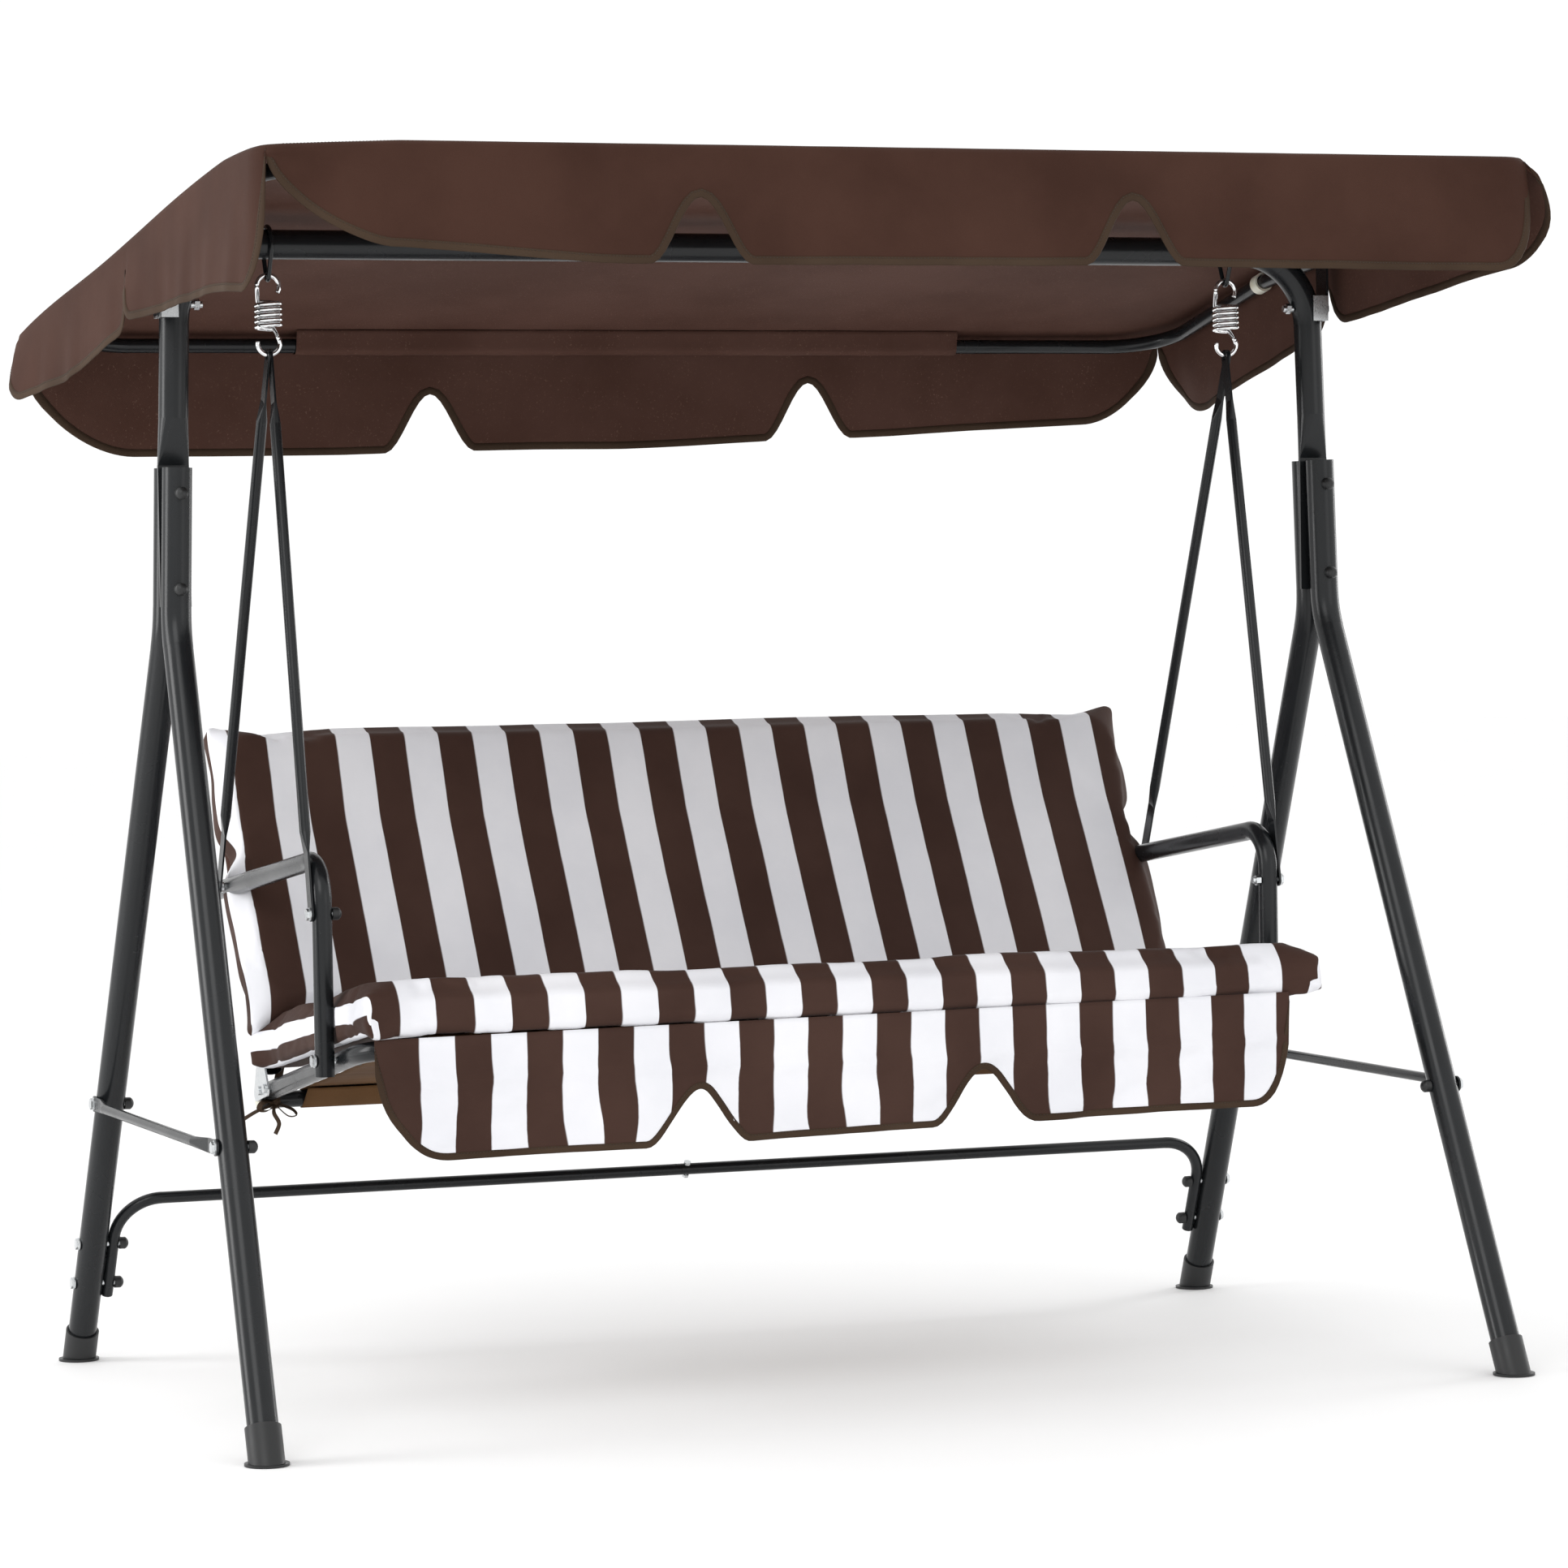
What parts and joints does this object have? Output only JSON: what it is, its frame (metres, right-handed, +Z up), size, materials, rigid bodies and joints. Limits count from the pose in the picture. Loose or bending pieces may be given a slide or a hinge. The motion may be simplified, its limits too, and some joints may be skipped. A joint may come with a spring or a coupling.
{
  "type": "canopy swing bench",
  "caption": "Garden swing bench: a padded seat hung on springs from a bent steel-tube stand, under a cloth canopy that tilts.",
  "frame": {"origin": "on the floor, in the middle of the four feet", "axes": "+X along the bench, to the right of someone facing it; +Y from the open front to the backrest; +Z up"},
  "size_m": [1.704, 1.1242, 1.5376],
  "materials": {
    "frame_black": "gloss",
    "cap_black": "satin",
    "zinc": "zinc plated",
    "chrome": "bright",
    "cream_plastic": "satin",
    "cloth_brown": "woven",
    "cloth_striped": "woven, white and brown stripes"
  },
  "bodies": {
    "frame": {"leg_front_left": "frame_black", "leg_front_right": "frame_black", "leg_rear_left": "frame_black", "leg_rear_right": "frame_black", "foot_front_left": "cap_black", "foot_front_right": "cap_black", "foot_rear_left": "cap_black", "foot_rear_right": "cap_black", "top_beam_left": "frame_black", "top_beam_right": "frame_black", "brace_left": "frame_black", "brace_right": "frame_black", "tie_bar_left": "frame_black", "tie_bar_right": "frame_black", "tie_bar_bolt": "zinc", "clamp_bolts": "zinc", "clamp_caps": "cap_black", "leg_bolts": "zinc", "leg_caps": "cap_black", "canopy_bracket_left": "zinc", "canopy_bracket_right": "zinc", "pivot_bolts": "zinc"},
    "loops": {"loop_left": "frame_black", "loop_right": "frame_black"},
    "springs": {"spring_left": "chrome", "spring_right": "chrome"},
    "seat": {"hanger_front_left": "frame_black", "hanger_front_right": "frame_black", "hanger_rear_left": "frame_black", "hanger_rear_right": "frame_black", "armrest_left": "frame_black", "armrest_right": "frame_black", "armrest_bolts": "zinc", "armrest_caps": "cap_black", "seat_frame": "frame_black", "seat_rear_tube": "frame_black", "seat_tube_plugs": "cream_plastic", "back_frame": "frame_black", "back_plates": "zinc", "plate_bolts": "zinc", "seat_sling": "cloth_brown", "back_sling": "cloth_brown", "seat_cushion": "cloth_striped", "back_cushion": "cloth_striped", "seat_skirt": "cloth_striped", "cushion_ties": "cloth_brown"},
    "canopy": {"canopy_rail_front_left": "frame_black", "canopy_rail_front_right": "frame_black", "canopy_rail_rear_left": "frame_black", "canopy_rail_rear_right": "frame_black", "canopy_front_bar": "frame_black", "canopy_rear_bar": "frame_black", "canopy_rings": "cream_plastic", "pivot_plates": "frame_black", "canopy_roof": "cloth_brown", "valance_front": "cloth_brown", "valance_rear": "cloth_brown", "valance_left": "cloth_brown", "valance_right": "cloth_brown"}
  },
  "joints": [
    {"name": "loop_swing", "type": "hinge", "parent": "frame", "child": "loops", "pos_m": [0, 0, 1.468], "axis": [1, 0, 0], "range_deg": [-10, 10]},
    {"name": "spring_stretch", "type": "slide", "parent": "loops", "child": "springs", "axis": [0, 0, -1], "range_m": [0, 0.02], "stiffness_N_per_m": 80000, "springref_m": -0.004, "deforming": ["spring_left", "spring_right"]},
    {"name": "seat_swing", "type": "hinge", "parent": "springs", "child": "seat", "pos_m": [0, 0, 1.3274], "axis": [1, 0, 0], "range_deg": [-15, 15]},
    {"name": "canopy_tilt", "type": "hinge", "parent": "frame", "child": "canopy", "pos_m": [0, 0, 1.392], "axis": [1, 0, 0], "range_deg": [-12, 12]}
  ]
}
